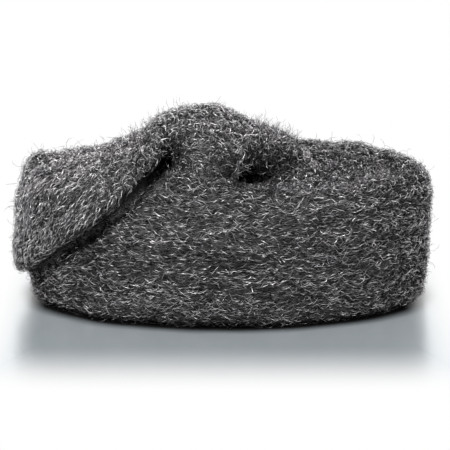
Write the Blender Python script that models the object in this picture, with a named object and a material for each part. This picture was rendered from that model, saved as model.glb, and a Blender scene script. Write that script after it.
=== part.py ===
"""A steel wool hand pad: one ribbon of steel wool wound into an oval roll.

The ribbon starts folded flat in the heart of the roll and winds outwards. Its tail comes round
the left end, climbs slanting over the front left rim as a flap, twists into a hump over the
middle and tucks down into the heart. Metres, +Z up, X along the pad, -Y the front, and the
origin under the middle of the pad on the surface that it rests on.
"""

import math

import bmesh
import bpy
from mathutils import Matrix, Vector

# Driving dimensions
PAD_LENGTH = 0.0968
PAD_DEPTH = 0.0755
RIBBON_WIDTH = 0.0304
TURN_PITCH = 0.0072
TURN_OVERLAP = 0.0020
RIBBON_THICKNESS = TURN_PITCH + TURN_OVERLAP
OUTER_TURN_PITCH = 0.0014
TAIL_ANGLE = math.radians(158)
TAIL_THICKNESS = 0.0090
HUMP_RISE = 0.0105

# How the wool sits: the lower edge of the outer turn is tucked in at the ends and sides, its rim
# is drawn up under the flap and stands a little higher behind, the heart is sunk, and soft
# creases run round the wall where the ribbon was folded
END_TUCK = 0.0006
SIDE_TUCK = 0.0042
BACK_RISE = 0.0010
RIGHT_RISE = 0.0008
RIM_LIFT = 0.0050
RIM_LIFT_ANGLE = math.radians(-115)
RIM_LIFT_SPREAD = math.radians(32)
HEART_SINK = 0.0075
HEART_REACH = 0.0125
WALL_CREASE_HEIGHTS = (0.0078, 0.0155)
WALL_CREASE_WIDTH = 0.0014
WALL_CREASE_DEPTH = 0.0008
BASE_PRESS = 0.0012

# The tufts: soft, uneven lumps all over the wool, wider than they are high
TUFT_LENGTH = 0.0070
TUFT_HEIGHT = 0.0045
TUFT_RELIEF = 0.0022

# How finely the ribbon is drawn before its turns are merged into one body
STATIONS_PER_TURN = 44
STATIONS_PER_TAIL_STEP = 6
SIDE_POINTS = 12
EDGE_POINTS = 7
MERGE_VOXEL = 0.00125
EVEN_VOXEL = 0.00095
SMOOTH_STEPS = 4
FACE_BUDGET = 11800

WOOL_COLOUR = (0.085, 0.083, 0.086, 1.0)
WOOL_METALLIC = 0.85
WOOL_ROUGHNESS = 0.55

# The tail's stations after it leaves the roll. Each gives the middle line of the ribbon's lower
# edge, of its crest and of its upper edge, and its thickness as a multiple of the tail's. A point
# is (x, y, height): x and y are shares of the pad's half length and half depth, and the height
# is 0 at the table, 1 at the ribbon's width and 2 at the hump's rise above that.
TAIL_STATIONS = (
    ((-0.922, -0.02, 0.26), (-0.915, 0.04, 0.61), (-0.897, 0.07, 0.98), 1.00),
    ((-0.909, -0.30, 0.33), (-0.907, -0.19, 0.69), (-0.858, 0.00, 1.00), 1.00),
    ((-0.789, -0.61, 0.54), (-0.798, -0.40, 0.90), (-0.698, -0.04, 1.02), 1.00),
    ((-0.610, -0.78, 0.77), (-0.610, -0.48, 1.06), (-0.517, -0.05, 1.11), 1.00),
    ((-0.413, -0.69, 1.15), (-0.384, -0.37, 1.50), (-0.331, 0.03, 1.42), 1.00),
    ((-0.264, -0.29, 1.88), (-0.244, -0.05, 2.00), (-0.196, 0.17, 1.72), 0.75),
    ((-0.157, -0.57, 1.18), (-0.112, -0.13, 1.85), (-0.062, 0.24, 1.42), 1.35),
    ((-0.012, -0.54, 1.21), (0.017, -0.05, 1.64), (0.062, 0.29, 1.32), 1.20),
    ((0.112, -0.31, 1.53), (0.136, 0.04, 1.46), (0.165, 0.32, 1.19), 1.08),
    ((0.219, -0.24, 1.41), (0.244, 0.05, 1.27), (0.269, 0.26, 1.04), 1.00),
    ((0.316, -0.11, 1.13), (0.332, 0.11, 0.98), (0.345, 0.24, 0.92), 0.97),
    ((0.364, 0.03, 0.76), (0.376, 0.13, 0.74), (0.384, 0.21, 0.76), 0.90),
    ((0.380, 0.07, 0.51), (0.388, 0.13, 0.50), (0.393, 0.20, 0.51), 0.80),
)

# The wool bunched under the twist: its middle as above, and its half sizes
BUNCH_MIDDLE = (-0.130, 0.16, 1.05)
BUNCH_SIZE = (0.0190, 0.0105, 0.0060)
BUNCH_SEGMENTS = 24

# The crease under the flap's edge, from the left end up over the rim to the pit beside the hump.
# Its line lies on the surface, in shares as above. It opens towards the roll and not the flap.
CREASE_LINE = (
    (-1.030, -0.05, 0.17),
    (-0.948, -0.35, 0.24),
    (-0.853, -0.53, 0.40),
    (-0.773, -0.64, 0.53),
    (-0.698, -0.72, 0.62),
    (-0.624, -0.79, 0.71),
    (-0.556, -0.84, 0.80),
    (-0.490, -0.86, 0.89),
    (-0.432, -0.83, 0.99),
    (-0.380, -0.72, 1.14),
    (-0.331, -0.57, 1.29),
    (-0.285, -0.41, 1.46),
)
CREASE_DEPTH = 0.0084
CREASE_OPENING = 0.0031
CREASE_UNDERCUT = 0.0022
CREASE_STAND_OFF = 0.0040
RIM_ROUND_START = 0.80
RIM_ROUND_END = 1.20


def inset(angle):
    """How far the winding lies inside its outer end at this angle; the outer turn is pressed thin."""
    turns = (TAIL_ANGLE - angle) / math.tau
    return OUTER_TURN_PITCH * min(turns, 1.0) + TURN_PITCH * max(turns - 1, 0.0)


def outer_turn_share(angle):
    """1 on the outer turn, falling to 0 half a turn further in."""
    turns = (TAIL_ANGLE - angle) / math.tau
    return min(max(3 - 2 * turns, 0.0), 1.0)


def winding():
    """The outer half length and half depth of the winding, and where its middle lies.

    A turn comes back inside itself, so the winding sits off the middle of the pad.
    """
    right, left = inset(0.0), inset(math.pi)
    front, back = inset(-math.pi / 2), inset(math.pi / 2)
    half_length = (PAD_LENGTH + right + left) / 2
    half_depth = (PAD_DEPTH + front + back) / 2
    return half_length, half_depth, (right - left) / 2, (back - front) / 2


def wound_station(angle):
    """The ribbon's lower edge, crest, upper edge and thickness at this angle of the winding."""
    half_length, half_depth, middle_x, middle_y = winding()
    end_round = RIBBON_THICKNESS / 2
    along = half_length - end_round - inset(angle)
    across = half_depth - end_round - inset(angle)
    outer = outer_turn_share(angle)
    from_lift = (angle - RIM_LIFT_ANGLE + math.pi) % math.tau - math.pi
    lift = RIM_LIFT * math.exp(-((from_lift / RIM_LIFT_SPREAD) ** 2)) * outer

    def point(end_shift, side_shift, height):
        x = middle_x + (along - end_shift) * math.cos(angle)
        y = middle_y + (across - side_shift) * math.sin(angle)
        return Vector((x, y, height))

    radius = math.hypot(along * math.cos(angle), across * math.sin(angle))
    sink = HEART_SINK * math.exp(-((radius / HEART_REACH) ** 2))
    rise = BACK_RISE * max(math.sin(angle), 0.0) + RIGHT_RISE * max(math.cos(angle), 0.0) * outer
    low = point(END_TUCK * outer, SIDE_TUCK * outer, end_round - BASE_PRESS)
    high = point(lift / 2, lift / 2, RIBBON_WIDTH - end_round - sink + lift + rise)
    crest = point(0.0, 0.0, (low.z + high.z) / 2)
    return low, crest, high, RIBBON_THICKNESS


def place(x, y, height):
    """A point given in shares of the pad, at its real place."""
    rise = max(height - 1, 0.0) * HUMP_RISE
    z = min(height, 1.0) * RIBBON_WIDTH + rise
    return Vector((x * PAD_LENGTH / 2, y * PAD_DEPTH / 2, z))


def tail_station(low, crest, high, bulk):
    """One of the hand-set stations, at its real size."""
    return place(*low), place(*crest), place(*high), TAIL_THICKNESS * bulk


def blend(before, start, end, after, share):
    """A smooth curve through start and end, for points and for plain numbers."""
    square, cube = share * share, share ** 3
    return (
        before * (-cube + 2 * square - share)
        + start * (3 * cube - 5 * square + 2)
        + end * (-3 * cube + 4 * square + share)
        + after * (cube - square)
    ) * 0.5


def ribbon_stations():
    """All stations of the ribbon, from the heart of the roll to the tucked end of the tail."""
    half_depth = winding()[1]
    turns = 1 + (half_depth - RIBBON_THICKNESS / 2 - OUTER_TURN_PITCH) / TURN_PITCH
    count = round(turns * STATIONS_PER_TURN)
    step = turns * math.tau / count
    wound = [wound_station(TAIL_ANGLE - step * (count - i)) for i in range(count + 1)]
    guides = wound[-2:] + [tail_station(*given) for given in TAIL_STATIONS]
    guides.append(guides[-1])
    tail = []
    for i in range(1, len(guides) - 2):
        for k in range(1, STATIONS_PER_TAIL_STEP + 1):
            share = k / STATIONS_PER_TAIL_STEP
            four = zip(guides[i - 1], guides[i], guides[i + 1], guides[i + 2])
            tail.append(tuple(blend(*values, share) for values in four))
    return wound + tail, len(wound)


def wall_crease(height):
    """How deep the wall's soft creases are at this height."""
    nearest = min(abs(height - crease) for crease in WALL_CREASE_HEIGHTS)
    return WALL_CREASE_DEPTH * math.exp(-((nearest / WALL_CREASE_WIDTH) ** 2))


def section(station, forward, creased):
    """The ribbon's outline across its run: two curved sides and two round edges."""
    low, crest, high, thickness = station
    control = 2 * crest - (low + high) / 2
    half = thickness / 2

    def middle_line(share):
        point = low * (1 - share) ** 2 + control * 2 * share * (1 - share) + high * share ** 2
        up = ((control - low) * (1 - share) + (high - control) * share).normalized()
        return point, up, forward.cross(up).normalized()

    def round_edge(share, way):
        point, up, out = middle_line(share)
        for i in range(1, EDGE_POINTS):
            turn = math.pi * i / EDGE_POINTS
            yield point + way * (out * math.cos(turn) + up * math.sin(turn)) * half

    outline = []
    for i in range(SIDE_POINTS + 1):
        point, _, out = middle_line(i / SIDE_POINTS)
        reach = half - (wall_crease(point.z) if creased else 0.0)
        outline.append(point + out * reach)
    outline.extend(round_edge(1.0, 1))
    for i in range(SIDE_POINTS + 1):
        point, _, out = middle_line(1 - i / SIDE_POINTS)
        outline.append(point - out * half)
    outline.extend(round_edge(0.0, -1))
    return outline


def add_bunch(shape):
    """The wool bunched up under the twist, which fills the space below the tail's arch."""
    where = Matrix.Translation(place(*BUNCH_MIDDLE)) @ Matrix.Diagonal((*BUNCH_SIZE, 1.0))
    bmesh.ops.create_uvsphere(
        shape, u_segments=BUNCH_SEGMENTS, v_segments=BUNCH_SEGMENTS // 2, radius=1.0, matrix=where
    )


def ribbon_mesh():
    """The whole ribbon as one closed sweep, its turns overlapping a little."""
    stations, wound_count = ribbon_stations()
    points = []
    for i, station in enumerate(stations):
        before = stations[max(i - 1, 0)][1]
        after = stations[min(i + 1, len(stations) - 1)][1]
        points.extend(section(station, (after - before).normalized(), i < wound_count))
    ring = len(points) // len(stations)
    faces = [tuple(reversed(range(ring)))]
    for i in range(len(stations) - 1):
        for k in range(ring):
            here, there = i * ring, (i + 1) * ring
            side = (k + 1) % ring
            faces.append((here + k, here + side, there + side, there + k))
    last = (len(stations) - 1) * ring
    faces.append(tuple(range(last, last + ring)))
    mesh = bpy.data.meshes.new("wool_pad")
    mesh.from_pydata(points, [], faces)
    shape = bmesh.new()
    shape.from_mesh(mesh)
    add_bunch(shape)
    shape.to_mesh(mesh)
    shape.free()
    return mesh


def wool_material():
    material = bpy.data.materials.new("steel_wool")
    material.use_nodes = True
    shader = material.node_tree.nodes["Principled BSDF"]
    shader.inputs["Base Color"].default_value = WOOL_COLOUR
    shader.inputs["Metallic"].default_value = WOOL_METALLIC
    shader.inputs["Roughness"].default_value = WOOL_ROUGHNESS
    return material


def table_cutter():
    """A block whose top is the table, to press the roll's underside flat."""
    depth = RIBBON_WIDTH
    bpy.ops.mesh.primitive_cube_add(size=1.0, location=(0.0, 0.0, -depth / 2))
    cutter = bpy.context.object
    cutter.name = "table_cutter"
    cutter.scale = (2 * PAD_LENGTH, 2 * PAD_DEPTH, depth)
    cutter.hide_render = True
    cutter.display_type = "WIRE"
    return cutter


def outward(point):
    """The way out of the pad's surface near a point of its wall or of its rim."""
    along, across = PAD_LENGTH / 2, PAD_DEPTH / 2
    side = Vector((point.x / along ** 2, point.y / across ** 2, 0.0)).normalized()
    height = point.z / RIBBON_WIDTH
    over_rim = (height - RIM_ROUND_START) / (RIM_ROUND_END - RIM_ROUND_START)
    return side.lerp(Vector((0.0, 0.0, 1.0)), min(max(over_rim, 0.0), 1.0)).normalized()


def crease_cutter():
    """A wedge swept along the flap's edge, which opens the crease between flap and roll."""
    line = [place(*given) for given in CREASE_LINE]
    guides = [line[0]] + line + [line[-1]]
    middle = []
    for i in range(1, len(guides) - 2):
        for k in range(STATIONS_PER_TAIL_STEP):
            middle.append(blend(*guides[i - 1:i + 3], k / STATIONS_PER_TAIL_STEP))
    middle.append(line[-1])
    points = []
    for i, point in enumerate(middle):
        forward = (middle[min(i + 1, len(middle) - 1)] - middle[max(i - 1, 0)]).normalized()
        out = outward(point)
        towards_roll = forward.cross(out).normalized()
        points.append(point - out * CREASE_DEPTH - towards_roll * CREASE_UNDERCUT)
        points.append(point + out * CREASE_STAND_OFF)
        reach = CREASE_OPENING * (1 + CREASE_STAND_OFF / CREASE_DEPTH)
        points.append(point + out * CREASE_STAND_OFF + towards_roll * reach)
    faces = [(2, 1, 0)]
    for i in range(0, 3 * (len(middle) - 1), 3):
        for k in range(3):
            side = (k + 1) % 3
            faces.append((i + k, i + side, i + 3 + side, i + 3 + k))
    last = len(points) - 3
    faces.append((last, last + 1, last + 2))
    mesh = bpy.data.meshes.new("crease_cutter")
    mesh.from_pydata(points, [], faces)
    shape = bmesh.new()
    shape.from_mesh(mesh)
    bmesh.ops.recalc_face_normals(shape, faces=shape.faces)
    shape.to_mesh(mesh)
    shape.free()
    cutter = bpy.data.objects.new("crease_cutter", mesh)
    bpy.context.collection.objects.link(cutter)
    cutter.hide_render = True
    cutter.display_type = "WIRE"
    return cutter


def add_remesh(pad, name, voxel):
    merge = pad.modifiers.new(name, "REMESH")
    merge.mode = "VOXEL"
    merge.voxel_size = voxel
    merge.use_smooth_shade = True


def add_cut(pad, name, cutter):
    cut = pad.modifiers.new(name, "BOOLEAN")
    cut.operation = "DIFFERENCE"
    cut.solver = "EXACT"
    cut.object = cutter


def tuft_places():
    """An empty whose scale is the size of the tufts along the pad and up it."""
    places = bpy.data.objects.new("tuft_places", None)
    bpy.context.collection.objects.link(places)
    places.scale = (TUFT_LENGTH, TUFT_LENGTH, TUFT_HEIGHT)
    return places


def add_tufts(pad):
    """Raises the wool unevenly."""
    lumps = bpy.data.textures.new("tufts", "CLOUDS")
    lumps.noise_scale = 1.0
    lumps.noise_depth = 1
    tufts = pad.modifiers.new("tufts", "DISPLACE")
    tufts.texture = lumps
    tufts.texture_coords = "OBJECT"
    tufts.texture_coords_object = tuft_places()
    tufts.mid_level = 0.5
    tufts.strength = TUFT_RELIEF


def count_faces(pad):
    graph = bpy.context.evaluated_depsgraph_get()
    return len(pad.evaluated_get(graph).data.polygons)


def wool_pad():
    """The pad: the ribbon's turns merged, creased, softened, thinned out and pressed flat below."""
    pad = bpy.data.objects.new("wool_pad", ribbon_mesh())
    bpy.context.collection.objects.link(pad)
    pad.data.materials.append(wool_material())
    add_remesh(pad, "merge_turns", MERGE_VOXEL)
    add_cut(pad, "crease", crease_cutter())
    add_remesh(pad, "even_out", EVEN_VOXEL)
    add_tufts(pad)
    soften = pad.modifiers.new("soften", "SMOOTH")
    soften.factor = 0.5
    soften.iterations = SMOOTH_STEPS
    thin = pad.modifiers.new("thin_out", "DECIMATE")
    thin.ratio = min(FACE_BUDGET / (2 * count_faces(pad)), 1.0)
    add_cut(pad, "press_flat", table_cutter())
    return pad


def clear_scene():
    for thing in list(bpy.data.objects):
        bpy.data.objects.remove(thing, do_unlink=True)


clear_scene()
wool_pad()
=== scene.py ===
import math
from collections import namedtuple

import bpy
import numpy as np
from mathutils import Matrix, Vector, noise
from mathutils.bvhtree import BVHTree

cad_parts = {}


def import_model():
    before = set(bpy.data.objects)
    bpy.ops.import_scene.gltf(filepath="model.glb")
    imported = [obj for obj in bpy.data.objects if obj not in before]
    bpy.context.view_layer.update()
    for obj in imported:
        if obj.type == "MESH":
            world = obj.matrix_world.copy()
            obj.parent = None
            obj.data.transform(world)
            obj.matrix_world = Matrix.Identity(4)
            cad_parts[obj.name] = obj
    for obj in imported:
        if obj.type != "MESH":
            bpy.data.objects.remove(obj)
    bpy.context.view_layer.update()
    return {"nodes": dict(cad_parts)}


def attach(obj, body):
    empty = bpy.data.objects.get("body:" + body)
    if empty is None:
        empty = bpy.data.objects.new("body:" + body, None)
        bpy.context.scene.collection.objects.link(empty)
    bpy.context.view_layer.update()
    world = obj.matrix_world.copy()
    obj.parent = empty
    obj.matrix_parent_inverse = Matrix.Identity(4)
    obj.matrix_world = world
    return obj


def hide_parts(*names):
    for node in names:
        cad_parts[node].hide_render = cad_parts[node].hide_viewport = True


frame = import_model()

MM = 0.001
SEED = 41

# The photograph's view: a long lens, thirteen degrees above the table
CAMERA_TARGET = Vector((0.0, 0.0, 16.3 * MM))
CAMERA_DISTANCE = 500 * MM
CAMERA_RISE = math.radians(13)
CAMERA_LENS = 168.0
SENSOR_WIDTH = 36.0

# The square lamps: azimuth and rise in degrees, width in metres and power in watts. Azimuth 0 is
# the camera's side, and positive is to its right
LAMPS = {"key": (-36, 54, 0.35, 7.1), "fill": (35, 48, 0.35, 3.1)}
LAMP_DISTANCE = 0.9
WORLD_LIGHT = 0.20
WHITE = (1, 1, 1, 1)

# The floor as it lights the pad, and the matt grey and the gloss that the camera sees round the pad
FLOOR_HALF = 3.0
FLOOR_COLOUR = (0.82, 0.83, 0.84, 1)
FLOOR_ROUGHNESS = 0.5
FLOOR_MATT = (0.208, 0.231, 0.244, 1)
FLOOR_GLOSS = (0.58, 0.60, 0.61, 1)
FLOOR_GLOSS_ROUGHNESS = 0.26

# Where the seen floor turns white: the start and the end of the change, out from the middle
FLOOR_FADE = {"X": (41.5 * MM, 54.0 * MM), "Y": (46.0 * MM, 80.0 * MM)}

# The painted contact shadow where the pad meets the table: how far out it reaches, the openness at
# which a place is all dark, and its colour
CONTACT_REACH = 5.0 * MM
CONTACT_SHUT = 0.45
CONTACT_SHADOW_COLOUR = (0.01, 0.01, 0.01, 1)

# The roll's oval, then the line of the crease under the flap, as x and z on the front, and in how
# many steps it is followed
OVAL_HALF_LENGTH = 48.5 * MM
OVAL_HALF_DEPTH = 38.0 * MM
CREASE_X = np.array([-50, -46, -41.3, -37.4, -33.8, -30.2, -26.9, -23.7, -20.9, -18.4, -16, -13.8]) * MM
CREASE_Z = np.array([5.2, 7.3, 12.2, 16.1, 18.8, 21.6, 24.3, 27.1, 30.1, 31.9, 33.4, 35.2]) * MM
CREASE_STEPS = 60

# Only dark strands lie in the crease, which runs from its width below the line to the lip above it.
# Near it every layer lies flatter, down to the least share of its bow
CREASE_WIDTH = 1.4 * MM
LIP = 0.3 * MM
FLAT_NEAR_CREASE = 5.0 * MM
LEAST_BOW = 0.15

# The flap above the crease: how far back it reaches, the height at which its top begins, and the
# lean of its fibres, as a mean and as degrees at its lower and its upper end
FLAP_BACK = 4.0 * MM
FLAP_TOP = 31 * MM
FLAP_LEAN = math.radians(57)
FLAP_LEAN_X = np.array([-46, -14]) * MM
FLAP_LEAN_DEGREES = (38, 76)

# The hump: an oval about its middle, from a little above the rim
RIM_HEIGHT = 29.0 * MM
HUMP_ABOVE_RIM = 1.5 * MM
HUMP_MIDDLE = (1.0 * MM, 0.0)
HUMP_HALF_SIZE = (22.0 * MM, 19.0 * MM)

# The core: how finely it is drawn and smoothed, its lumps as size and height, the height above the
# table at which they are full, and how far it is drawn in below the strands
CORE_VOXEL = 0.85 * MM
CORE_SMOOTHING = 2
CORE_SMOOTH_FACTOR = 0.5
LUMPS = ((6.0 * MM, 0.35 * MM), (2.2 * MM, 0.16 * MM))
LUMPS_FULL = 2.0 * MM
CORE_DEPTH = 0.45 * MM

# Each layer of strands: how many pieces, strands a piece and rings a strand, then in millimetres the
# step between rings, the radius from dark to light, where the ends start, below the surface where
# that is negative, and how far the middle bows out, then the curl in radians a ring, a factor on how
# much the headings stray, the shades from dark to light, and whether strands lie in the crease
LAYERS = {
    "mat": dict(pieces=1, count=27500, rings=1, step=(0.45, 1.20), radius=(0.044, 0.090),
                start=(-0.30, 0.00), bow=(0.05, 0.60), curl=0.30, stray=1.3, shade=(0.0, 0.50),
                in_crease=True),
    "strands": dict(pieces=1, count=32500, rings=1, step=(0.42, 1.05), radius=(0.026, 0.052),
                    start=(-0.20, 0.15), bow=(0.10, 1.00), curl=0.28, stray=1.0, shade=(0.20, 1.0),
                    in_crease=False),
    "long_strands": dict(pieces=2, count=15500, rings=2, step=(0.48, 1.05), radius=(0.021, 0.044),
                         start=(-0.10, 0.20), bow=(0.10, 1.10), curl=0.24, stray=0.9,
                         shade=(0.30, 1.0), in_crease=False),
}

# The loose hairs, in the same terms: rise is how steeply they leave the surface, tilt how unevenly
# the planes of their arcs lie, bends the two ways of curling, bend_shares how many hairs have each,
# and drift how much they wander at each ring
FUZZ = dict(count=10700, rings=3, step=(0.35, 1.35), radius=(0.026, 0.048), stray=1.6,
            rise=(-0.2, 1.0), tilt=0.5, bends=(-1.0, 0.6), bend_shares=(0.65, 0.35),
            curl=(0.65, 1.45), drift=0.25, shade=(0.0, 0.75))

# Where the wool is loosest, as x and z on the hump, in the crease's deep end and over the pocket,
# and how much more fuzz stands there
LOOSE_PLACES = np.array([(-19.0, 38.0), (13.5, 40.0), (-11.5, 34.5), (9.0, 32.5)]) * MM
LOOSE_SIZE = 6.0 * MM
LOOSE_GAIN = 6.0

# A strand's sides, how unevenly they turn along it in radians a ring, the power that makes small
# bows and steps more common than large ones, and how far a strand stays off the table
STRAND_SIDES = 3
FACET_TWIST = 0.9
SKEW = 2.2
TABLE_CLEARANCE = 0.05 * MM

# A strand that leaves the surface it started on, as over a crease, is dropped, so more are started
# than are kept. Then how far off the surface a step may end, as a share of its length, and the
# least dot product of the normals at its two ends
SPARE_STRANDS = 1.15
LOST_SHARE = 0.55
CREASE_TURN = 0.35

# How far round a point other wool is looked for, by how many rays, from how far above the surface
# and how much they lean out of it. Then the openness at which there would be no strands and at
# which there are all, and the least share of them that there is anywhere
OPEN_REACH = 20 * MM
OPEN_RAYS = 12
OPEN_START = 0.4 * MM
OPEN_LEAN = 1.02
OPEN_RANGE = (0.20, 0.55)
BARE_WEIGHT = 0.70

# The share of strands on the underside, and the upward part of a normal past which the wool is
# underside or top
UNDERSIDE_WEIGHT = 0.30
UNDERSIDE_SLOPE = -0.8
TOP_SLOPE = 0.6

# How far the fibres stray from the ribbon's run, in radians
STRAY_WALL = 0.46
STRAY_TOP = 0.80
STRAY_FLAP = 0.32
STRAY_FLAP_TOP = 0.9
STRAY_HUMP = 1.1

# Long bands of lighter and darker wool: their length and width, and how much they change the shade.
# Then the painted light that lifts the flap and the hump, and the painted shade on the rest of the top
BAND_LENGTH = 22.0 * MM
BAND_WIDTH = 1.9 * MM
BAND_SHADE = 0.22
FLAP_PAINTED_LIGHT = 0.14
HUMP_PAINTED_LIGHT = 0.11
TOP_PAINTED_SHADE = -0.03

# Painted shade along the crease, widest at the share of its length given, round the pocket in
# front of the hump, and a painted contact shadow at the foot of the pad
CREASE_DARK = 0.45
CREASE_DARK_WIDTH = np.array([1.3, 2.2, 0.8]) * MM
CREASE_WIDEST = 0.65
POCKET_DARK = 0.15
POCKET_MIDDLE = (7.0 * MM, 34.5 * MM)
POCKET_HALF_SIZE = (9.0 * MM, 2.8 * MM)
FOOT_DARK = 0.45
FOOT_HEIGHT = 2.2 * MM

# One texture square serves all strands: a strand's shade is its column, and its length runs up it
SHADE_WIDTH = 1 / 48
LENGTH_UP_MAP = 6.0 * MM

# Steel by its shade, dark to light. Painted glints make a strand's shade darker and lighter by the
# change, over the range of a noise that is scaled across and up the texture square
STEEL_SHADES = (
    (0.0, (0.010, 0.0095, 0.011, 1)),
    (0.50, (0.05, 0.04825, 0.0505, 1)),
    (0.75, (0.29, 0.27985, 0.2929, 1)),
    (1.0, (0.86, 0.84, 0.85, 1)),
)
PAINTED_GLINT_CHANGE = 0.30
PAINTED_GLINT_RANGE = (0.25, 0.75)
PAINTED_GLINT_SCALE = (70, 7, 1)
STEEL_EDGE_TINT = (0.2, 0.2, 0.2, 1)
STEEL_ROUGHNESS = 0.46

# The core's streaks: their size, the leans of the three runs that cross, how far apart in the noise
# those are taken, their colours by that noise, from gap to streak, and how high they stand
STREAK_LENGTH = 1.6 * MM
STREAK_WIDTH = 0.20 * MM
STREAK_LEANS = (-0.16, 0.0, 0.16)
STREAK_SHIFT = 90
# The near-black gap colour is painted shade, for the depth of the wool between the strands
STREAK_SHADES = ((0.50, (0.004, 0.004, 0.004, 1)), (0.75, (0.14, 0.138, 0.14, 1)))
STREAK_RELIEF = 0.3 * MM
CORE_ROUGHNESS = 0.5

# Added to a length before a division by it, since it may be 0: for directions, and for sizes
SPARE_DIRECTION = 1e-9
SPARE_SIZE = 1e-12

# What the strands are laid on: its search tree, points and triangles, and how open each point is
Surface = namedtuple("Surface", "tree points faces room")


def unit(vectors, spare=0.0):
    """The vectors at a length of 1. Spare is added to each length, for those that may be 0."""
    return vectors / (np.linalg.norm(vectors, axis=-1)[..., None] + spare)


def new_mesh(name, points, faces):
    """A triangle mesh from arrays."""
    mesh = bpy.data.meshes.new(name)
    mesh.vertices.add(len(points))
    mesh.vertices.foreach_set("co", np.asarray(points, np.float32).ravel())
    mesh.loops.add(faces.size)
    mesh.loops.foreach_set("vertex_index", faces.astype(np.int32).ravel())
    mesh.polygons.add(len(faces))
    mesh.polygons.foreach_set("loop_start", np.arange(0, faces.size, 3, dtype=np.int32))
    mesh.update(calc_edges=True)
    return mesh


def mesh_arrays(mesh):
    """A mesh's points and triangles as arrays."""
    mesh.calc_loop_triangles()
    points = np.empty(len(mesh.vertices) * 3)
    mesh.vertices.foreach_get("co", points)
    faces = np.empty(len(mesh.loop_triangles) * 3, np.int32)
    mesh.loop_triangles.foreach_get("vertices", faces)
    return points.reshape(-1, 3), faces.reshape(-1, 3)


def vertex_normals(mesh):
    """A mesh's normals at its points, as an array."""
    normals = np.empty(len(mesh.vertices) * 3)
    mesh.vertex_normals.foreach_get("vector", normals)
    return normals.reshape(-1, 3)


def evaluated_copy(thing):
    """The object's mesh with its modifiers applied."""
    graph = bpy.context.evaluated_depsgraph_get()
    return bpy.data.meshes.new_from_object(thing.evaluated_get(graph))


def move_points(mesh, points):
    """Puts a mesh's points at new places."""
    mesh.vertices.foreach_set("co", points.ravel())
    mesh.update()


def wool_core(material):
    """The dense wool below the strands: the pad's own form, drawn finely and made uneven."""
    core = bpy.data.objects.new("wool_core", frame["nodes"]["wool_pad"].data.copy())
    bpy.context.collection.objects.link(core)
    merge = core.modifiers.new("remesh", "REMESH")
    merge.mode = "VOXEL"
    merge.voxel_size = CORE_VOXEL
    smooth = core.modifiers.new("smooth", "SMOOTH")
    smooth.factor = CORE_SMOOTH_FACTOR
    smooth.iterations = CORE_SMOOTHING
    mesh = evaluated_copy(core)
    core.modifiers.clear()
    core.data = mesh
    mesh.name = "wool_core"
    mesh.materials.clear()
    mesh.materials.append(material)
    mesh.shade_smooth()
    points, _ = mesh_arrays(mesh)
    normals = vertex_normals(mesh)
    lumps = np.zeros(len(points))
    for size, height in LUMPS:
        lumps += [noise.noise(Vector(point) / size) * height for point in points]
    lumps *= np.clip(points[:, 2] / LUMPS_FULL, 0, 1)
    move_points(mesh, points + normals * lumps[:, None])
    return core


def sink(core):
    """Draws the core in a little, so that the strands stand clear of it."""
    points, _ = mesh_arrays(core.data)
    points = points - vertex_normals(core.data) * CORE_DEPTH
    points[:, 2] = np.maximum(points[:, 2], 0)
    move_points(core.data, points)


def openness(tree, points, normals, rng):
    """The share of the view from each point of the surface that no other wool shuts off."""
    ways = unit(rng.normal(0, 1, (len(points), OPEN_RAYS, 3))) + normals[:, None, :] * OPEN_LEAN
    seen = np.zeros(len(points))
    for i, (point, normal) in enumerate(zip(points, normals)):
        start = Vector(point + normal * OPEN_START)
        for way in ways[i]:
            if tree.ray_cast(start, Vector(way), OPEN_REACH)[0] is None:
                seen[i] += 1
    return seen / OPEN_RAYS


def wool_surface(core, rng):
    """The surface that the strands are laid on, from the core before it is drawn in."""
    points, faces = mesh_arrays(core.data)
    tree = BVHTree.FromPolygons(points.tolist(), faces.tolist())
    return Surface(tree, points, faces, openness(tree, points, vertex_normals(core.data), rng))


def above_crease(points):
    """How far each point lies above the crease, and whether it is on the front where that runs."""
    x, y, z = np.moveaxis(points, -1, 0)
    return z - np.interp(x, CREASE_X, CREASE_Z), (x < CREASE_X[-1]) & (y < FLAP_BACK)


def on_flap(points):
    """Which points lie on the flap."""
    height, front = above_crease(points)
    return (height > 0) & front


def clear_of_crease(path):
    """Which strands neither lie in the crease nor run across it."""
    height, front = above_crease(path)
    inside = (height < LIP) & (height > -CREASE_WIDTH)
    over = height > 0
    crossing = over.any(1) & ~over.all(1) & front.any(1)
    return ~((inside & front).any(1) | crossing)


def on_hump(points):
    """Which points lie on the hump, the flap left out."""
    x, y, z = points.T
    away = ((x - HUMP_MIDDLE[0]) / HUMP_HALF_SIZE[0]) ** 2
    away += ((y - HUMP_MIDDLE[1]) / HUMP_HALF_SIZE[1]) ** 2
    return (away < 1) & (z > RIM_HEIGHT + HUMP_ABOVE_RIM) & ~on_flap(points)


def painted_shade(points):
    """How much painted shade darkens the strands at each point: in the crease and the pocket, and near
    the table.
    """
    x, y, z = points.T
    line = np.linspace(CREASE_X[0], CREASE_X[-1], CREASE_STEPS)
    off = np.hypot(x[:, None] - line, z[:, None] - np.interp(line, CREASE_X, CREASE_Z))
    nearest = off.argmin(1) / (len(line) - 1)
    width = np.interp(nearest, [0, CREASE_WIDEST, 1], CREASE_DARK_WIDTH)
    # Painted shade under the flap's lip, then in the pocket under the hump, then a painted contact
    # shadow near the table
    dark = CREASE_DARK * np.exp(-(off.min(1) / width) ** 2) * (y < FLAP_BACK)
    away = ((x - POCKET_MIDDLE[0]) / POCKET_HALF_SIZE[0]) ** 2
    away += ((z - POCKET_MIDDLE[1]) / POCKET_HALF_SIZE[1]) ** 2
    dark += POCKET_DARK * np.exp(-away) * (y < 0)
    return dark + FOOT_DARK * np.clip(1 - z / FOOT_HEIGHT, 0, 1)


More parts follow.
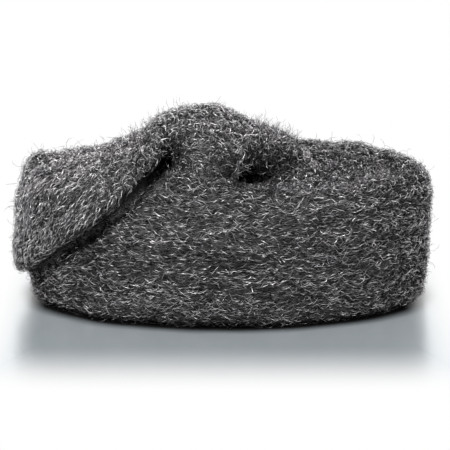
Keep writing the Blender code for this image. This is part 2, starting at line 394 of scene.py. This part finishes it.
def fibre_places(points):
    """Each point's place along the ribbon's fibres, and twice across them."""
    x, y, z = points.T
    around = np.arctan2(y / OVAL_HALF_DEPTH, x / OVAL_HALF_LENGTH) * OVAL_HALF_LENGTH
    out = np.hypot(x / OVAL_HALF_LENGTH, y / OVAL_HALF_DEPTH) * OVAL_HALF_LENGTH
    flap = on_flap(points)
    along = np.where(flap, x * math.cos(FLAP_LEAN) + z * math.sin(FLAP_LEAN), around)
    across = np.where(flap, z * math.cos(FLAP_LEAN) - x * math.sin(FLAP_LEAN), z)
    return np.stack([along, across, np.where(flap, y, out)], 1)


def flow(points, normals):
    """The direction in which the ribbon's fibres run at each point, and how much they stray."""
    x, y, z = points.T
    level = np.zeros(len(x))
    around = np.stack([-y / OVAL_HALF_DEPTH**2, x / OVAL_HALF_LENGTH**2, level], 1)
    around = unit(around, SPARE_DIRECTION)
    lean = np.radians(np.interp(x, FLAP_LEAN_X, FLAP_LEAN_DEGREES))
    along_flap = np.stack([np.cos(lean), level, np.sin(lean)], 1)
    flap = on_flap(points)
    run = np.where(flap[:, None], along_flap, around)
    run = unit(run - normals * np.sum(run * normals, 1)[:, None], SPARE_DIRECTION)
    stray = np.where(normals[:, 2] > TOP_SLOPE, STRAY_TOP, STRAY_WALL)
    stray = np.where(flap, np.where(z > FLAP_TOP, STRAY_FLAP_TOP, STRAY_FLAP), stray)
    return run, np.where(on_hump(points), STRAY_HUMP, stray)


def surface_points(surface, count, rng, loose=0.0):
    """Points spread over the surface, thinner underneath and in creases, denser at loose places."""
    corners = surface.points[surface.faces]
    cross = np.cross(corners[:, 1] - corners[:, 0], corners[:, 2] - corners[:, 0])
    normals = unit(cross, SPARE_SIZE)
    weight = np.linalg.norm(cross, axis=1)
    weight *= np.where(normals[:, 2] < UNDERSIDE_SLOPE, UNDERSIDE_WEIGHT, 1.0)
    room = surface.room[surface.faces].mean(1)
    weight *= np.clip(np.interp(room, OPEN_RANGE, [0, 1]), BARE_WEIGHT, 1)
    middle = corners.mean(1)
    for place in LOOSE_PLACES:
        off = np.hypot(middle[:, 0] - place[0], middle[:, 2] - place[1]) / LOOSE_SIZE
        weight *= 1 + loose * np.exp(-off * off)
    chosen = rng.choice(len(surface.faces), count, p=weight / weight.sum())
    a, b = rng.random((2, count))
    over = a + b > 1
    a, b = np.where(over, 1 - a, a), np.where(over, 1 - b, b)
    base = corners[chosen]
    along, across = base[:, 1] - base[:, 0], base[:, 2] - base[:, 0]
    return base[:, 0] + along * a[:, None] + across * b[:, None], normals[chosen]


def headings(spots, normals, share, rng):
    """The way in which each strand sets out: near the fibres' run, and forwards or back along it."""
    run, stray = flow(spots, normals)
    side = np.cross(normals, run)
    turn = rng.normal(0, 1, len(spots)) * stray * share
    way = run * np.cos(turn)[:, None] + side * np.sin(turn)[:, None]
    return way * rng.choice([-1.0, 1.0], len(spots))[:, None]


def walk(tree, spots, normals, way, step, curl, rings, rng):
    """Walks strands over the surface. Returns their points, the normals below, and which are kept."""
    count = len(spots)
    turns = rng.normal(0, 1, (count, rings + 1)) * curl
    path = np.empty((count, rings + 2, 3))
    below = np.empty_like(path)
    kept = np.ones(count, bool)
    for i in range(count):
        here = Vector(spots[i])
        normal = Vector(normals[i])
        ahead = Vector(way[i])
        path[i, 0], below[i, 0] = here, normal
        for k in range(rings + 1):
            aim = here + ahead * step[i]
            found, facing, _, gap = tree.find_nearest(aim)
            if gap > step[i] * LOST_SHARE or facing.dot(normal) < CREASE_TURN:
                kept[i] = False
                break
            normal = facing
            ahead = found - here
            ahead -= normal * ahead.dot(normal)
            ahead.normalize()
            ahead += normal.cross(ahead) * turns[i, k]
            ahead.normalize()
            here = found
            path[i, k + 1], below[i, k + 1] = here, normal
    return path, below, kept


def strand_faces(rings):
    """The triangles of one strand: a point, its rings and a point."""
    faces = []
    last = 1 + rings * STRAND_SIDES
    end = last - STRAND_SIDES
    for j in range(STRAND_SIDES):
        n = (j + 1) % STRAND_SIDES
        faces.append((0, 1 + n, 1 + j))
        for a in range(1, end, STRAND_SIDES):
            b = a + STRAND_SIDES
            faces.append((a + j, a + n, b + n))
            faces.append((a + j, b + n, b + j))
        faces.append((end + j, end + n, last))
    return np.array(faces)


def strand_points(path, below, radius, rng):
    """The points of each strand: its start, its rings and its end."""
    count, rings = len(path), path.shape[1] - 2
    tangent = unit(np.gradient(path, axis=1), SPARE_SIZE)
    side = unit(np.cross(tangent, below), SPARE_SIZE)
    up = np.cross(side, tangent)
    turn = rng.uniform(0, math.tau, (count, 1))
    turn = turn + np.cumsum(rng.normal(0, FACET_TWIST, (count, rings)), axis=1)
    angle = turn[:, :, None] + np.arange(STRAND_SIDES) * math.tau / STRAND_SIDES
    ring = (
        side[:, 1:-1, None, :] * np.cos(angle)[..., None]
        + up[:, 1:-1, None, :] * np.sin(angle)[..., None]
    )
    ring = path[:, 1:-1, None, :] + ring * radius[:, None, None, None]
    return np.concatenate([path[:, :1], ring.reshape(count, -1, 3), path[:, -1:]], axis=1)


def strand_places(path, shade, rng):
    """Where each point of each strand lies on the texture square."""
    count, rings = len(path), path.shape[1] - 2
    length = np.cumsum(np.linalg.norm(np.diff(path, axis=1), axis=2), axis=1) / LENGTH_UP_MAP
    length = np.concatenate([np.zeros((count, 1)), length], axis=1)
    ring_length = np.repeat(length[:, 1:-1], STRAND_SIDES, 1)
    up_map = np.concatenate([length[:, :1], ring_length, length[:, -1:]], 1)
    up_map += rng.uniform(0, 1, (count, 1)) * (1 - up_map.max(axis=1, keepdims=True))
    across = np.full(up_map.shape[1], 0.5)
    across[1:-1] = np.tile(np.linspace(0, 1, STRAND_SIDES), rings)
    column = shade[:, None] * (1 - SHADE_WIDTH) + across[None] * SHADE_WIDTH
    return np.stack([column, up_map], 2)


def strand_mesh(name, path, below, radius, shade, rng):
    """Three-sided slivers, as steel wool is shaved, each closed and pointed at both ends."""
    path[:, :, 2] = np.maximum(path[:, :, 2], TABLE_CLEARANCE + radius[:, None])
    points = strand_points(path, below, radius, rng)
    count, per = points.shape[:2]
    shape = strand_faces(path.shape[1] - 2)
    faces = shape[None] + (np.arange(count) * per)[:, None, None]
    mesh = new_mesh(name, points.reshape(-1, 3), faces.reshape(-1, 3))
    mesh.shade_flat()
    places = strand_places(path, shade, rng)[:, shape.ravel()]
    mesh.uv_layers.new(name="OFBake").data.foreach_set("uv", places.astype(np.float32).ravel())
    return mesh


def strand_shades(spots, normals, shades, rng):
    """Each strand's shade, 0 black to 1 bright: random, banded, with painted light and shade by place.
    """
    places = fibre_places(spots) / (BAND_LENGTH, BAND_WIDTH, BAND_WIDTH)
    bands = np.array([noise.noise(Vector(place)) for place in places])
    hump, top = on_hump(spots), normals[:, 2] > TOP_SLOPE
    shade = rng.uniform(*shades, len(spots)) + BAND_SHADE * bands
    # Painted light on the flap and the hump, painted shade on the rest of the top, then the painted
    # shade of the crease, the pocket and the foot
    shade += np.where(on_flap(spots), FLAP_PAINTED_LIGHT, 0)
    shade += np.where(hump, HUMP_PAINTED_LIGHT, 0) + np.where(top & ~hump, TOP_PAINTED_SHADE, 0)
    return np.clip(shade - painted_shade(spots), 0, 1)


def add_piece(name, kind, path, below, material, rng):
    """An object of strands along the given paths, the light ones thicker than the dark ones."""
    shade = strand_shades(path[:, 1], below[:, 1], kind["shade"], rng)
    thin, thick = kind["radius"]
    radius = (thin + (thick - thin) * shade) * MM
    mesh = strand_mesh(name, path, below, radius, shade, rng)
    mesh.materials.append(material)
    strands = bpy.data.objects.new(name, mesh)
    bpy.context.collection.objects.link(strands)
    return strands


def add_layer(name, layer, surface, material, rng):
    """A piece of strands that lie on the wool, bowed out in their middle."""
    rings = layer["rings"]
    count = int(layer["count"] * SPARE_STRANDS)
    spots, normals = surface_points(surface, count, rng)
    step = rng.uniform(*layer["step"], count) * MM
    way = headings(spots, normals, layer["stray"], rng)
    path, below, kept = walk(surface.tree, spots, normals, way, step, layer["curl"], rings, rng)
    if not layer["in_crease"]:
        kept &= clear_of_crease(path)
    chosen = np.flatnonzero(kept)[:layer["count"]]
    path, below = path[chosen], below[chosen]
    count = len(path)
    share = np.linspace(0, 1, rings + 2)[None]
    start = rng.uniform(*layer["start"], count)[:, None]
    low, high = layer["bow"]
    bow = low + (high - low) * rng.random((count, 1)) ** SKEW
    height, front = above_crease(path[:, :1])
    bow *= np.where(front, np.clip(abs(height) / FLAT_NEAR_CREASE, LEAST_BOW, 1), 1)
    path += below * ((start + bow * np.sin(math.pi * share)) * MM)[:, :, None]
    return add_piece(name, layer, path, below, material, rng)


def add_fuzz(name, surface, material, rng):
    """The loose ends that curl up out of the wool, each along an arc of its own."""
    count, rings = FUZZ["count"], FUZZ["rings"]
    spots, normals = surface_points(surface, count, rng, LOOSE_GAIN)
    way = headings(spots, normals, FUZZ["stray"], rng)
    way = unit(way + normals * rng.uniform(*FUZZ["rise"], count)[:, None])
    axis = unit(np.cross(way, normals + rng.normal(0, FUZZ["tilt"], (count, 3))))
    axis *= rng.choice(FUZZ["bends"], (count, 1), p=FUZZ["bend_shares"])
    low, high = FUZZ["step"]
    step = (low + (high - low) * rng.random((count, 1)) ** SKEW) * MM
    curl = rng.uniform(*FUZZ["curl"], count)[:, None]
    path = np.empty((count, rings + 2, 3))
    path[:, 0] = spots
    for k in range(1, rings + 2):
        path[:, k] = path[:, k - 1] + way * step
        drift = rng.normal(0, FUZZ["drift"], (count, 3))
        way = unit(way + np.cross(axis, way) * curl + drift)
    below = np.repeat(normals[:, None], rings + 2, axis=1)
    kept = clear_of_crease(path)
    return add_piece(name, FUZZ, path[kept], below[kept], material, rng)


def add_streak_places(core):
    """Gives the core the places that its streaks are drawn by."""
    points, _ = mesh_arrays(core.data)
    places = fibre_places(points) / (STREAK_LENGTH, STREAK_WIDTH, STREAK_WIDTH)
    layer = core.data.attributes.new("streak", "FLOAT_VECTOR", "POINT")
    layer.data.foreach_set("vector", places.astype(np.float32).ravel())


def new_material(name):
    """A material, its node tree and its shader."""
    material = bpy.data.materials.new(name)
    material.use_nodes = True
    tree = material.node_tree
    return material, tree, tree.nodes["Principled BSDF"]


def node(tree, kind, **inputs):
    """A new node with values set on its own inputs."""
    made = tree.nodes.new(kind)
    for name, value in inputs.items():
        made.inputs[name].default_value = value
    return made


def math_node(tree, operation, *values):
    """The result of one operation on other nodes' values."""
    made = tree.nodes.new("ShaderNodeMath")
    made.operation = operation
    for number, value in enumerate(values):
        tree.links.new(value, made.inputs[number])
    return made.outputs[0]


def map_range(tree, value, given, wanted=(0.0, 1.0), interpolation="LINEAR"):
    """A value carried over from one range to another."""
    ends = {"From Min": given[0], "From Max": given[1], "To Min": wanted[0], "To Max": wanted[1]}
    made = node(tree, "ShaderNodeMapRange", **ends)
    made.interpolation_type = interpolation
    tree.links.new(value, made.inputs["Value"])
    return made.outputs[0]


def colour_ramp(tree, value, marks):
    """The colour of a value, by marks that give positions and colours, lowest first."""
    made = tree.nodes.new("ShaderNodeValToRGB")
    elements = made.color_ramp.elements
    for element, (position, colour) in zip(elements, (marks[0], marks[-1])):
        element.position = position
        element.color = colour
    for position, colour in marks[1:-1]:
        elements.new(position).color = colour
    tree.links.new(value, made.inputs["Fac"])
    return made.outputs["Color"]


def mix_shaders(tree, share, first, second):
    """The first shader where the share is 0, and the second where it is 1."""
    made = tree.nodes.new("ShaderNodeMixShader")
    tree.links.new(share, made.inputs["Fac"])
    tree.links.new(first, made.inputs[1])
    tree.links.new(second, made.inputs[2])
    return made.outputs[0]


def set_steel(shader, roughness):
    """Bare metal that darkens towards its edges."""
    shader.inputs["Metallic"].default_value = 1.0
    shader.inputs["Specular Tint"].default_value = STEEL_EDGE_TINT
    shader.inputs["Roughness"].default_value = roughness


def core_material():
    """Wool streaked along its fibres by crossing lighter runs, its near-black gaps painted shade."""
    material, tree, shader = new_material("wool_core")
    place = tree.nodes.new("ShaderNodeAttribute")
    place.attribute_name = "streak"
    lightest = None
    for lean in STREAK_LEANS:
        turned = node(
            tree, "ShaderNodeMapping", Rotation=(0, lean, lean), Location=(lean * STREAK_SHIFT, 0, 0)
        )
        streak = node(tree, "ShaderNodeTexNoise", Scale=1.0, Detail=1.0)
        tree.links.new(place.outputs["Vector"], turned.inputs["Vector"])
        tree.links.new(turned.outputs[0], streak.inputs["Vector"])
        light = streak.outputs["Fac"]
        lightest = light if lightest is None else math_node(tree, "MAXIMUM", lightest, light)
    # Partly painted shade: the near-black gaps between the streaks stand for the depth of the wool
    colour = colour_ramp(tree, lightest, STREAK_SHADES)
    tree.links.new(colour, shader.inputs["Base Color"])
    bump = node(tree, "ShaderNodeBump", Strength=1.0, Distance=STREAK_RELIEF)
    tree.links.new(lightest, bump.inputs["Height"])
    tree.links.new(bump.outputs["Normal"], shader.inputs["Normal"])
    set_steel(shader, CORE_ROUGHNESS)
    return material


def strand_material():
    """Bare steel: each strand has its own shade, broken along its length by painted glints."""
    material, tree, shader = new_material("steel_strands")
    place = tree.nodes.new("ShaderNodeUVMap")
    place.uv_map = "OFBake"
    spread = node(tree, "ShaderNodeMapping", Scale=PAINTED_GLINT_SCALE)
    glint = node(tree, "ShaderNodeTexNoise", Scale=1.0, Detail=1.0)
    column = tree.nodes.new("ShaderNodeSeparateXYZ")
    tree.links.new(place.outputs[0], spread.inputs["Vector"])
    tree.links.new(spread.outputs[0], glint.inputs["Vector"])
    tree.links.new(place.outputs[0], column.inputs[0])
    # Painted glints: the noise lightens and darkens each strand's colour along its length
    change = map_range(tree, glint.outputs["Fac"], PAINTED_GLINT_RANGE, (-PAINTED_GLINT_CHANGE, PAINTED_GLINT_CHANGE))
    shade = math_node(tree, "ADD", column.outputs["X"], change)
    colour = colour_ramp(tree, shade, STEEL_SHADES)
    tree.links.new(colour, shader.inputs["Base Color"])
    set_steel(shader, STEEL_ROUGHNESS)
    return material


def camera():
    """The camera at the photograph's viewing angle."""
    data = bpy.data.cameras.new("camera")
    data.lens = CAMERA_LENS
    data.sensor_width = SENSOR_WIDTH
    view = bpy.data.objects.new("camera", data)
    bpy.context.collection.objects.link(view)
    back = Vector((0.0, -math.cos(CAMERA_RISE), math.sin(CAMERA_RISE)))
    view.location = CAMERA_TARGET + back * CAMERA_DISTANCE
    view.rotation_euler = (-back).to_track_quat("-Z", "Y").to_euler()
    bpy.context.scene.camera = view


def area_light(name, azimuth, rise, size, watts):
    """A square lamp that faces the pad."""
    data = bpy.data.lights.new(name, "AREA")
    data.energy = watts
    data.size = size
    lamp = bpy.data.objects.new(name, data)
    bpy.context.collection.objects.link(lamp)
    azimuth, rise = math.radians(azimuth), math.radians(rise)
    right, near = math.sin(azimuth) * math.cos(rise), math.cos(azimuth) * math.cos(rise)
    way = Vector((right, -near, math.sin(rise)))
    lamp.location = CAMERA_TARGET + way * LAMP_DISTANCE
    lamp.rotation_euler = (-way).to_track_quat("-Z", "Y").to_euler()


def world():
    """A low, even light that looks white to the camera and in reflections."""
    made = bpy.data.worlds.new("world")
    bpy.context.scene.world = made
    made.use_nodes = True
    tree = made.node_tree
    lit = tree.nodes["Background"]
    lit.inputs["Color"].default_value = WHITE
    lit.inputs["Strength"].default_value = WORLD_LIGHT
    seen = node(tree, "ShaderNodeBackground", Color=WHITE, Strength=1.0)
    path = tree.nodes.new("ShaderNodeLightPath")
    looked_at = math_node(tree, "MAXIMUM", path.outputs["Is Camera Ray"], path.outputs["Is Glossy Ray"])
    mixed = mix_shaders(tree, looked_at, lit.outputs[0], seen.outputs[0])
    tree.links.new(mixed, tree.nodes["World Output"].inputs["Surface"])


def floor_fade(tree):
    """0 round the pad and 1 where the seen floor is white, with a rectangle's soft edge between."""
    place = tree.nodes.new("ShaderNodeTexCoord")
    axes = tree.nodes.new("ShaderNodeSeparateXYZ")
    tree.links.new(place.outputs["Object"], axes.inputs[0])
    fades = []
    for axis, ends in FLOOR_FADE.items():
        away = math_node(tree, "ABSOLUTE", axes.outputs[axis])
        fades.append(map_range(tree, away, ends, interpolation="SMOOTHSTEP"))
    return math_node(tree, "MAXIMUM", *fades)


def seen_floor(tree):
    """The seen floor: a grey gloss, dark against the pad, with a painted contact shadow, white further
    out.
    """
    matt = node(tree, "ShaderNodeBsdfDiffuse", Color=FLOOR_MATT)
    gloss = node(tree, "ShaderNodeBsdfGlossy", Color=FLOOR_GLOSS, Roughness=FLOOR_GLOSS_ROUGHNESS)
    near = tree.nodes.new("ShaderNodeAddShader")
    tree.links.new(matt.outputs[0], near.inputs[0])
    tree.links.new(gloss.outputs[0], near.inputs[1])
    # Painted contact shadow: a black diffuse where the pad shuts the floor in
    room = node(tree, "ShaderNodeAmbientOcclusion", Distance=CONTACT_REACH)
    clear = map_range(tree, room.outputs["AO"], (CONTACT_SHUT, 1.0))
    dark = node(tree, "ShaderNodeBsdfDiffuse", Color=CONTACT_SHADOW_COLOUR)
    shaded = mix_shaders(tree, clear, dark.outputs[0], near.outputs[0])
    white = node(tree, "ShaderNodeEmission", Color=WHITE, Strength=1.0)
    return mix_shaders(tree, floor_fade(tree), shaded, white.outputs[0])


def floor():
    """A pale floor for the light, with a look of its own for the camera."""
    mesh = bpy.data.meshes.new("floor")
    corners = [(-1, -1), (1, -1), (1, 1), (-1, 1)]
    mesh.from_pydata([(x * FLOOR_HALF, y * FLOOR_HALF, 0) for x, y in corners], [], [(0, 1, 2, 3)])
    plane = bpy.data.objects.new("floor", mesh)
    bpy.context.collection.objects.link(plane)
    material, tree, plain = new_material("floor")
    plain.inputs["Base Color"].default_value = FLOOR_COLOUR
    plain.inputs["Roughness"].default_value = FLOOR_ROUGHNESS
    path = tree.nodes.new("ShaderNodeLightPath")
    mixed = mix_shaders(tree, path.outputs["Is Camera Ray"], plain.outputs[0], seen_floor(tree))
    tree.links.new(mixed, tree.nodes["Material Output"].inputs["Surface"])
    mesh.materials.append(material)


def studio():
    """The camera, the light and the floor."""
    bpy.context.scene.view_settings.view_transform = "Standard"
    camera()
    world()
    for name, lamp in LAMPS.items():
        area_light(name, *lamp)
    floor()


studio()
rng = np.random.default_rng(SEED)
core = wool_core(core_material())
add_streak_places(core)
surface = wool_surface(core, rng)
fibres = strand_material()
pieces = [core]
for kind, layer in LAYERS.items():
    for number in range(layer["pieces"]):
        pieces.append(add_layer(f"{kind}_{number + 1}", layer, surface, fibres, rng))
pieces.append(add_fuzz("fuzz", surface, fibres, rng))
sink(core)
for piece in pieces:
    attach(piece, "root")
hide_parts("wool_pad")
